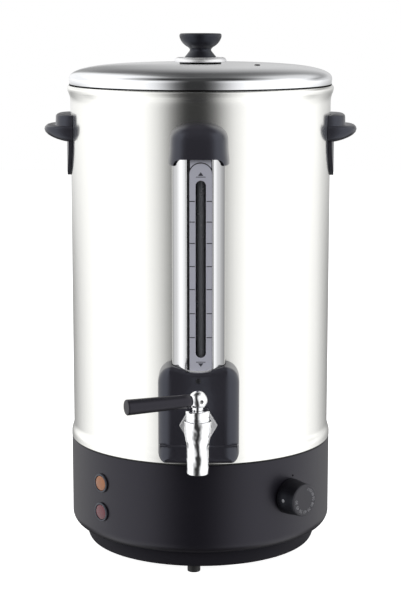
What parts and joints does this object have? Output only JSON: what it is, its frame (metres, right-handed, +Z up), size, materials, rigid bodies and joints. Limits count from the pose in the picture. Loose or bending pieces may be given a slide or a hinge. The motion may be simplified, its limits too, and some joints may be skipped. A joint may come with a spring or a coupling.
{
  "type": "hot water urn",
  "caption": "Tall stainless water urn on a black electric base, with a front sight gauge, lever tap, side handles, temperature dial and lift-off lid.",
  "frame": {"origin": "on the tank axis, on the plane that the feet rest on", "axes": "+Z up along the tank axis, -Y towards the front with the tap and gauge, +X to the right seen from the front"},
  "size_m": [0.324, 0.393, 0.5432],
  "materials": {
    "brushed_tank": "satin",
    "polished_lid": "polished",
    "bright_chrome": "mirror",
    "plain_steel": "plain",
    "aluminium": "cast",
    "brass": "plain",
    "black_plastic": "fine satin",
    "base_black": "fine satin",
    "dark_plastic": "matt",
    "grey_panel": "satin",
    "white_nylon": "matt",
    "ceramic": "matt",
    "rubber_black": "matt",
    "silicone": "matt",
    "sight_glass": "clear",
    "amber_lens": "clear tint",
    "red_lens": "clear tint",
    "red_button": "gloss",
    "wire_sleeve": "satin",
    "copper": "plain"
  },
  "bodies": {
    "urn": {"tank_shell": "brushed_tank", "tank_floor": "plain_steel", "heat_plate": "aluminium", "heating_element": "plain_steel", "heat_shield": "plain_steel", "boil_dry_cutout": "dark_plastic", "keep_warm_thermostat": "dark_plastic", "control_thermostat": "ceramic", "thermostat_bulbs": "copper", "capillary_tubes": "copper", "terminal_block": "ceramic", "wiring": "wire_sleeve", "base_gasket": "rubber_black", "base_housing": "base_black", "bottom_plate": "base_black", "rubber_feet": "rubber_black", "base_screws": "plain_steel", "tie_rods": "plain_steel", "lamp_bezels": "black_plastic", "keep_warm_lens": "amber_lens", "heat_lens": "red_lens", "lamp_holders": "white_nylon", "mains_inlet": "dark_plastic", "inlet_pins": "plain_steel", "inlet_screws": "plain_steel", "handle_left": "black_plastic", "handle_right": "black_plastic", "handle_screws": "plain_steel", "gauge_top_cap": "black_plastic", "gauge_channel": "bright_chrome", "gauge_panel": "grey_panel", "sight_tube": "sight_glass", "tube_seals": "silicone", "gauge_tee": "brass", "tube_gland_nut": "brass", "cap_screw": "plain_steel", "tap_housing": "black_plastic", "housing_screw": "plain_steel", "tap_body": "bright_chrome", "tap_flange_nut": "bright_chrome", "outer_washer": "silicone", "inner_washer": "silicone", "tap_backnut": "brass", "tap_bonnet": "bright_chrome", "tap_spring": "plain_steel"},
    "lid": {"lid_shell": "polished_lid", "lid_locating_ring": "plain_steel", "lid_knob": "black_plastic", "knob_boss": "polished_lid", "knob_screw": "plain_steel"},
    "swivel": {"tap_thrust_washer": "bright_chrome"},
    "stem": {"tap_stem": "bright_chrome", "seat_washer": "silicone", "lever_pin": "plain_steel"},
    "lever": {"tap_lever_hub": "bright_chrome", "tap_lever_rod": "black_plastic"},
    "dial": {"dial_knob": "black_plastic", "dial_shaft": "plain_steel"},
    "reset": {"reset_button": "red_button"}
  },
  "joints": [
    {"name": "lid_lift", "type": "slide", "parent": "urn", "child": "lid", "axis": [0, 0, 1], "range_m": [0, 0.12]},
    {"name": "lever_swivel", "type": "hinge", "parent": "urn", "child": "swivel", "pos_m": [0, -0.212, 0.195], "axis": [0, 0, 1], "range_deg": [-20, 150]},
    {"name": "stem_lift", "type": "slide", "parent": "swivel", "child": "stem", "axis": [0, 0, 1], "range_m": [0, 0.0043], "deforming": ["tap_spring"]},
    {"name": "lever_tilt", "type": "hinge", "parent": "stem", "child": "lever", "pos_m": [0, -0.212, 0.2046], "axis": [-0.4226, 0.9063, 0], "range_deg": [0, 40], "stiffness_Nm_per_rad": 0.12, "springref_deg": -20.05},
    {"name": "dial_turn", "type": "hinge", "parent": "urn", "child": "dial", "pos_m": [0.09234, -0.10255, 0.079], "axis": [0.6691, -0.7431, 0], "range_deg": [-270, 0]},
    {"name": "reset_press", "type": "slide", "parent": "urn", "child": "reset", "axis": [0, 0, 1], "range_m": [0, 0.002], "stiffness_N_per_m": 600, "springref_m": -0.002}
  ],
  "couplings": [
    {"joint": "stem_lift", "follows": "lever_tilt", "m_per_rad": 0.006}
  ]
}
